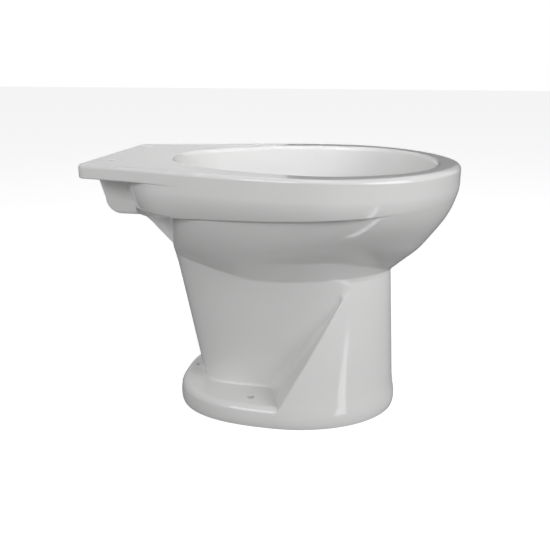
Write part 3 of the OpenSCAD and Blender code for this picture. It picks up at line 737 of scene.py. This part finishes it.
def basinAt(f):
    # from the sump's edge out to the channel with f^(0.55 to 1.4), and up in proportion to f;
    # where that comes near the casing it moves in by (need + sqrt(need^2 + blend^2)) / 2
    rearWeight = np.where(frontMask > 0, 0, np.sin(np.radians(sideAngle)) ** 2)
    share = np.reshape(f, (-1, 1)) ** (bowl["outPower"] + bowl["rearPower"] * rearWeight)[:, None]
    xy = basinFoot + (basinTop - basinFoot) * share
    z = bowl["neckHeight"] + np.reshape(f, -1) * (channelZ(basinTop[:, 0]) - bowl["neckHeight"])
    beside = casingBeside(z)
    away = outward(beside)
    need = bowl["leastGap"] - ((beside - xy) * away).sum(1)
    push = (need + np.sqrt(need**2 + bowl["gapBlend"] ** 2)) / 2
    return atHeight(xy - away * push[:, None], z)


def makeBowl():
    outer = casingSkin
    topZ = channelZ(casingTop[:, 0])
    inner, liner = [], []
    for row in outer[::3]:
        f = np.clip((row[:, 2] - bowl["neckHeight"]) / (topZ - bowl["neckHeight"]), 0, 1)
        b = basinAt(f)
        gap = b - row
        wall = np.minimum(bowl["wall"], np.linalg.norm(gap, axis=1, keepdims=True) / 2)
        inner.append(row + unit(gap) * wall)
        liner.append(b - unit(gap) * wall)
    inner, liner = np.array(inner), np.array(liner)
    parts = [patch(outer), patch(inner, inward=True),
             patch(np.array([outer[-1], inner[-1]])), patch(np.array([inner[0], outer[0]]))]
    makePiece("bowlCasing", parts, "bowl_casing")
    basin = np.array([basinAt(np.full(len(basinFoot), s**1.7)) for s in np.linspace(0, 1, 48)])
    parts = [patch(basin, inward=True), patch(liner),
             patch(np.array([liner[-1], basin[-1]])), patch(np.array([basin[0], liner[0]]))]
    makePiece("basinLiner", parts, "basin_liner")


makeBowl()

# ---------------------------------------------------------------- pedestal
pedestal = {
    "footFront": 174.0, "footRear": 171.7, "footWidth": 257.4, "footHeight": 32.5, "footPowers": (1.97, 2.64),
    "draft": 3.5, "widestZ": 12.0, "draftRun": 30.0, "tuck": 1.6, "tuckHeight": 9.0, "ledgeFade": 16.0,
    "columnMid": 30.0, "columnFront": 235.0, "columnRear": 50.0, "columnWidth": 116.0, "columnPowers": (2.4, 3.2),
    "ridgeX": 41.0, "ridgeSlope": 0.6, "ridgeSplay": 0.27,
    "ridgeRound": 2.6, "ridgeSoften": 14.0, "softenFrom": 186.0, "softenRun": 30.0, "fadeFrom": 188.0, "fadeRun": 20.0,
    "innerRound": 14.0, "hollowRound": 18.0, "baseRound": 5.0, "ledgeRound": 11.0, "wall": 10.0,
}
# points on half a section: front outline, ridge, wedge face, hollow and rear column; and on half the foot
sectionCells = {"front": 84, "ridge": 9, "wedge": 12, "hollow": 15, "rear": 74, "foot": 90}
footLoop = mirrored(eggHalf(bowl["neckMid"], pedestal["footFront"], pedestal["footRear"],
                            pedestal["footWidth"] / 2, *pedestal["footPowers"]))
columnLoop = mirrored(eggHalf(pedestal["columnMid"], pedestal["columnFront"] - pedestal["columnMid"],
                              pedestal["columnMid"] + pedestal["columnRear"], pedestal["columnWidth"] / 2,
                              *pedestal["columnPowers"]))
halfCount = cells["front"] + cells["rear"] + 1


def footInset(z):
    # widest a little above the floor, and tucked in at the floor
    draft = pedestal["draft"] * smooth((z - pedestal["widestZ"]) / pedestal["draftRun"])
    return draft + pedestal["tuck"] * np.maximum(0, 1 - z / pedestal["tuckHeight"]) ** 2


def frontOutline(z):
    # the broad front column and the foot's wall below it, as one smooth run in z
    if z <= pedestal["footHeight"]:
        return inset(footLoop, footInset(z))
    f = (z - pedestal["footHeight"]) / (bowl["neckHeight"] - pedestal["footHeight"])
    low = inset(footLoop, pedestal["draft"])
    extra = pedestal["draft"] - footInset(pedestal["footHeight"])
    fade = max(0.0, 1 - (z - pedestal["footHeight"]) / pedestal["ledgeFade"]) ** 2
    return inset(low * (1 - f) + neckLoop * f, -extra * fade)


def rearOutline(z):
    f = (z - pedestal["footHeight"]) / (bowl["neckHeight"] - pedestal["footHeight"])
    return columnLoop * (1 - f) + neckLoop * f


def aheadOf(p, z):
    # positive in front of the leaning ridge plane x = ridgeX + ridgeSlope z + ridgeSplay |y|
    return p[:, 0] - (pedestal["ridgeX"] + pedestal["ridgeSlope"] * z + pedestal["ridgeSplay"] * np.abs(p[:, 1]))


def evenly(line, count):
    step = np.concatenate([[0], np.cumsum(np.linalg.norm(np.diff(line, axis=0), axis=1))])
    at = np.linspace(0, step[-1], count)
    return np.stack([np.interp(at, step, line[:, k]) for k in range(2)], -1)


def cutEnd(line, length):
    # the line without its last stretch of that length
    step = np.concatenate([[0], np.cumsum(np.linalg.norm(np.diff(line, axis=0), axis=1))])
    at = max(step[-1] - length, step[-1] * 0.2)
    keep = step < at - 1e-6
    end = np.array([np.interp(at, step, line[:, k]) for k in range(2)])
    return np.concatenate([line[keep], end[None]])


def crossing(line, z):
    # the point where the line passes the ridge plane, and the index before it
    g = aheadOf(line, z)
    k = int(np.argmax(np.sign(g[1:]) != np.sign(g[:-1])))
    f = g[k] / (g[k] - g[k + 1])
    return line[k] * (1 - f) + line[k + 1] * f, k


def sectionAt(z, ridgeRound):
    # tip -> ridge on the front outline, wedge face, rear column to the middle, corners rounded by curves
    front, rear = frontOutline(z)[:halfCount], rearOutline(z)[:halfCount]
    top = z >= bowl["neckHeight"] - 0.3
    edge, k = crossing(front, z)
    root, j = crossing(rear, z) if not top else (edge, k)
    ahead = np.concatenate([front[:k + 1], edge[None]])
    behind = np.concatenate([root[None], rear[j + 1:]])
    wide = np.linalg.norm(edge - root)
    outCut = min(ridgeRound, 0.3 * wide) + 0.01
    inCut = min(pedestal["hollowRound"], 0.5 * wide) + 0.02
    a = cutEnd(ahead, ridgeRound)
    way = (root - edge) / max(wide, 1e-6)
    w1, w2 = edge + way * outCut, root - way * inCut
    b = cutEnd(behind[::-1], pedestal["hollowRound"])[::-1]
    s = np.linspace(0, 1, sectionCells["ridge"])[:, None]
    outer = a[-1] * (1 - s) ** 2 + edge * 2 * s * (1 - s) + w1 * s * s
    s = np.linspace(0, 1, sectionCells["hollow"])[:, None]
    hollow = w2 * (1 - s) ** 2 + root * 2 * s * (1 - s) + b[0] * s * s
    wedge = evenly(np.stack([w1, w2]), sectionCells["wedge"])
    middle = np.concatenate([outer[1:], wedge[1:-1], hollow])
    # near the top the wedge fades into one soft S-curve: a cubic from a's end to b's start along both lines
    s = np.linspace(0, 1, len(middle) + 1)[1:, None]
    reach = np.linalg.norm(b[0] - a[-1])
    leave, arrive = unit(a[-1] - a[-4]) * reach, unit(b[3] - b[0]) * reach
    soft = (a[-1] * (1 + 2 * s) * (1 - s) ** 2 + leave * s * (1 - s) ** 2
            + b[0] * s * s * (3 - 2 * s) - arrive * s * s * (1 - s))
    fade = smooth((z - pedestal["fadeFrom"]) / pedestal["fadeRun"])
    middle = middle * (1 - fade) + soft * fade
    return np.concatenate([evenly(a, sectionCells["front"]), middle, evenly(b, sectionCells["rear"])[1:]])


def makeColumns():
    foot, top = pedestal["footHeight"], bowl["neckHeight"]
    r, n = pedestal["baseRound"], sectionCells
    heights = np.concatenate([foot + r * (1 - np.cos(np.linspace(0, quarter, 8))), np.linspace(foot + r, top, 60)[1:]])
    outer, inner = [], []
    # the round at the foot of the column fades in over ten points behind the ridge
    wedgeStart = n["front"] + n["ridge"] - 1
    wedgeEnd = wedgeStart + n["wedge"] - 2
    weight = smooth((np.arange(0, wedgeEnd + n["hollow"] + n["rear"] - 1) - (wedgeStart - 1)) / 10.0)
    weight = np.concatenate([weight, weight[-2:0:-1]])
    for z in heights:
        soften = smooth((z - pedestal["softenFrom"]) / pedestal["softenRun"])
        loop = mirrored(sectionAt(z, pedestal["ridgeRound"] + pedestal["ridgeSoften"] * soften))
        t = min(1.0, (z - foot) / r)
        flare = r - math.sqrt(max(0.0, r * r - (r - r * t) ** 2))
        outer.append(atHeight(inset(loop, -flare * weight), z))
        soft = mirrored(sectionAt(z, pedestal["innerRound"]))
        inner.append(atHeight(inset(soft, pedestal["wall"]), z))
    outer, inner = np.array(outer), np.array(inner)
    normals = gridNormals(outer, True)
    innerNormals = gridNormals(inner, True)
    around = outer.shape[1]
    split = wedgeEnd + n["hollow"] // 2
    # the front piece runs from -split to +split through the tip, the rear piece takes the rest
    ahead = np.arange(-split, split + 1) % around
    behind = np.arange(split, around - split + 1) % around
    for name, node, run in (("frontColumn", "front_column", ahead), ("rearColumn", "rear_column", behind)):
        o, i = outer[:, run], inner[:, run]
        parts = [patch(o, closed=False, normals=normals[:, run]),
                 patch(i, closed=False, inward=True, normals=innerNormals[:, run]),
                 patch(np.array([o[-1], i[-1]]), closed=False), patch(np.array([i[0], o[0]]), closed=False),
                 patch(np.stack([i[:, 0], o[:, 0]], 1), closed=False),
                 patch(np.stack([o[:, -1], i[:, -1]], 1), closed=False)]
        makePiece(name, parts, node)


makeColumns()


def ridgePoint(z, d):
    # the foot's outline moved in by d, the point where it meets the ridge plane, and the index before it
    loop = inset(footLoop, d)[:halfCount]
    edge, k = crossing(loop, z)
    return loop, edge, k


def footRow(z, d, zFront, dFront):
    count = sectionCells["foot"]
    loop, edge, k = ridgePoint(zFront, dFront)
    ahead = evenly(np.concatenate([loop[:k + 1], edge[None]]), count)
    loop, edge, k = ridgePoint(z, d)
    behind = evenly(np.concatenate([edge[None], loop[k + 1:]]), count)
    return np.concatenate([atHeight(ahead, zFront), atHeight(behind, z)])


footHoles = {"x": 45.0, "spacing": 190.0, "r": 5.0, "rearX": -68.35, "rearR": 3.0, "soft": 0.8, "plate": 10.0,
             "cavityWall": 12.0}


def makeFoot():
    high, r = pedestal["footHeight"], pedestal["ledgeRound"]
    rows = []
    for z in np.concatenate([[0, 1, 2.2], np.linspace(4, high - r, 12)]):
        rows.append(footRow(z, footInset(z), z, footInset(z)))
    start = footInset(high - r)
    for a in np.linspace(0, quarter, 11)[1:]:
        z = high - r + r * math.sin(a)
        rows.append(footRow(z, start + r * (1 - math.cos(a)), z, footInset(z)))
    wall = mirrored(np.array(rows))
    n = wall.shape[1]
    # the two stations at each ridge are a cut: ahead and behind it have their own normals
    normals = gridNormals(wall, True)
    cut = sectionCells["foot"]
    ahead = np.arange(-(cut - 1), cut) % n
    behind = np.arange(cut, n - cut + 1) % n
    normals[:, ahead] = gridNormals(wall[:, ahead], False)
    normals[:, behind] = gridNormals(wall[:, behind], False)
    parts = [patch(wall, normals=normals)]
    holes = footHoles
    room = mirrored(sectionAt(high, pedestal["innerRound"]))
    room = inset(room, pedestal["wall"])
    bores = [(holes["x"], -holes["spacing"] / 2, holes["r"]), (holes["x"], holes["spacing"] / 2, holes["r"]),
             (holes["rearX"], 0.0, holes["rearR"])]
    wide = [circle(x, y, rad + holes["soft"]) for x, y, rad in bores]
    cavity = inset(footLoop, holes["cavityWall"])
    under = high - holes["plate"]
    parts.append(sheet(wall[-1][:, :2], [room] + wide, high))
    narrow = [circle(x, y, rad) for x, y, rad in bores]
    parts.append(sheet(cavity, [room] + narrow, under, up=False))
    parts.append(patch(np.array([atHeight(room, under), atHeight(room, high)]), inward=True))
    parts.append(patch(np.array([atHeight(cavity, 0), atHeight(cavity, under)]), inward=True))
    parts.append(sheet(wall[0][:, :2], [cavity], 0, up=False))
    for x, y, rad in bores:
        hole = [atHeight(circle(x, y, rad), under)]
        for a in np.linspace(0, quarter, 5):
            ring = circle(x, y, rad + holes["soft"] * (1 - math.cos(a)))
            hole.append(atHeight(ring, high - holes["soft"] * (1 - math.sin(a))))
        parts.append(patch(np.array(hole), inward=True))
    makePiece("footFlange", parts, "foot_flange")


makeFoot()

# ---------------------------------------------------------------- inlet box and rib
inletBox = {"width": 130.0, "bottom": 303.0, "rear": 196.0, "lean": 12.0, "corner": 24.0, "soft": 5.0, "wall": 7.0,
            "bore": 22.0, "axisHeight": 335.0, "boss": 28.0, "bossLength": 26.0, "bossSoft": 1.0,
            "frontX": -74.0, "boreFrontX": -150.0}


def boxProfile(drop):
    # side view of the box, clockwise from the top rear: down the leaning rear, round the corner, forward
    v = inletBox
    back, low, r = -v["rear"] + drop, v["bottom"] + drop, max(v["corner"] - drop, 3.0)
    footX = back + v["lean"]
    a = np.linspace(math.pi, 1.5 * math.pi, 15)
    arc = np.stack([footX + r + r * np.cos(a), low + r + r * np.sin(a)], -1)
    rear = np.stack([np.linspace(back, arc[0, 0], 16)[:-1], np.linspace(shelfBottom, arc[0, 1], 16)[:-1]], -1)
    bottom = np.stack([np.linspace(arc[-1, 0], v["frontX"], 8)[1:], np.full(7, low)], -1)
    return np.concatenate([rear, arc, bottom])


def sideCaps(skin, top, inside=False):
    # flat ends of a shape carried across Y: every edge point is joined to the point above it
    caps = []
    for edge, far in ((skin[0], False), (skin[-1], True)):
        above = edge.copy()
        above[:, 2] = top
        flat = np.tile([0, -1.0, 0], (2, len(edge), 1))
        caps.append(patch(np.array([edge, above]), closed=False, inward=far != inside, normals=flat))
    return caps


def boxSkin(drop, half, soft):
    # the profile carried across Y, pulled in by a quarter circle at both side edges
    turn = np.linspace(0, quarter, 9)
    y = np.concatenate([-half + soft * (1 - np.cos(turn)), np.linspace(-half + soft, half - soft, 40)[1:-1],
                        half - soft * (1 - np.cos(turn[::-1]))])
    pull = soft * np.concatenate([1 - np.sin(turn), np.zeros(38), 1 - np.sin(turn[::-1])])
    rows = []
    for at, by in zip(y, pull):
        p = boxProfile(drop + by)
        rows.append(np.stack([p[:, 0], np.full(len(p), at), p[:, 1]], -1))
    return np.array(rows)


def pierced(part, radius):
    # leaves out the faces that lie wholly inside the bore's boss
    p = part["points"][part["faces"]]
    off = np.hypot(p[..., 1], p[..., 2] - inletBox["axisHeight"])
    return {**part, "faces": part["faces"][~((off < radius) & (p[..., 0] < inletBox["boreFrontX"])).all(1)]}


def turned(profile, height, count=64):
    # (x, r) points turned about the line y = 0, z = height
    a = np.linspace(0, 2 * math.pi, count, endpoint=False)
    x, r = np.array(profile).T
    along = np.broadcast_to(x[:, None], (len(x), count))
    return np.stack([along, r[:, None] * np.cos(a), height + r[:, None] * np.sin(a)], -1)


def makeInletBox():
    v = inletBox
    half = v["width"] / 2
    outer, inner = boxSkin(0, half, v["soft"]), boxSkin(v["wall"], half - v["wall"], 2.0)
    middle = (v["bore"] + v["boss"]) / 2
    parts = [pierced(patch(outer, closed=False, inward=True), middle), pierced(patch(inner, closed=False), middle)]
    parts += sideCaps(outer, shelfBottom) + sideCaps(inner, shelfBottom, inside=True)
    rear, end, soft = -v["rear"], -v["rear"] + v["bossLength"], v["bossSoft"]
    turn = np.linspace(0, quarter, 5)
    outside = [(rear + soft * (1 - math.sin(a)), v["boss"] - soft * (1 - math.cos(a))) for a in turn]
    outside = [(end, v["boss"])] + outside
    inside = [(rear + soft * (1 - math.cos(a)), v["bore"] + soft * (1 - math.sin(a))) for a in turn]
    inside = inside + [(end, v["bore"])]
    for profile in (outside, [outside[-1], inside[0]], inside, [inside[-1], outside[0]]):
        parts.append(patch(turned(profile, v["axisHeight"])))
    makePiece("inletBox", parts, "inlet_box")


makeInletBox()


rib = {
    "half": 48.0, "top": 304.0, "soft": 3.0,
    # (x, z) down its rear face, from the inlet box to the casing
    "knots": [[-134.5, 303.6], [-131, 300], [-127.5, 296.6], [-116.5, 287.2], [-108.5, 278.7],
              [-98.5, 269.0], [-91.0, 261.0], [-84, 255.0]],
}


def makeRib():
    knots = np.array(rib["knots"])
    s = np.linspace(0, 1, len(knots))
    fine = np.linspace(0, 1, 24)
    # smooth profile through the knots: cubic in each stretch with Catmull-Rom slopes
    slope = np.gradient(knots, s, axis=0)
    k = np.minimum((fine * (len(knots) - 1)).astype(int), len(knots) - 2)
    u = (fine - s[k]) / (s[1] - s[0])
    h = s[1] - s[0]
    u = u[:, None]
    line = (knots[k] * (1 + 2 * u) * (1 - u) ** 2 + slope[k] * h * u * (1 - u) ** 2
            + knots[k + 1] * u * u * (3 - 2 * u) + slope[k + 1] * h * u * u * (u - 1))
    t = np.gradient(line, axis=0)
    inner = unit(np.stack([-t[:, 1], t[:, 0]], -1))
    rows = []
    r, half = rib["soft"], rib["half"]
    for a in np.linspace(0, quarter, 7):
        p = line + inner * (r * (1 - math.sin(a)))
        rows.append(np.stack([p[:, 0], np.full(len(p), -half + r * (1 - math.cos(a))), p[:, 1]], -1))
    for a in np.linspace(quarter, 0, 7):
        p = line + inner * (r * (1 - math.sin(a)))
        rows.append(np.stack([p[:, 0], np.full(len(p), half - r * (1 - math.cos(a))), p[:, 1]], -1))
    skin = np.array(rows)
    parts = [patch(skin, closed=False, inward=True)] + sideCaps(skin, rib["top"])
    makePiece("rearRib", parts, "rear_rib")


makeRib()

# ---------------------------------------------------------------- kept CAD nodes
for nodeName, node in nodes.items():
    node.data.materials.clear()
    hidden = nodeName.startswith("trap") or nodeName == "outlet_horn"
    node.data.materials.append(innerBisque if hidden else whiteGlaze)
print("kept nodes painted")
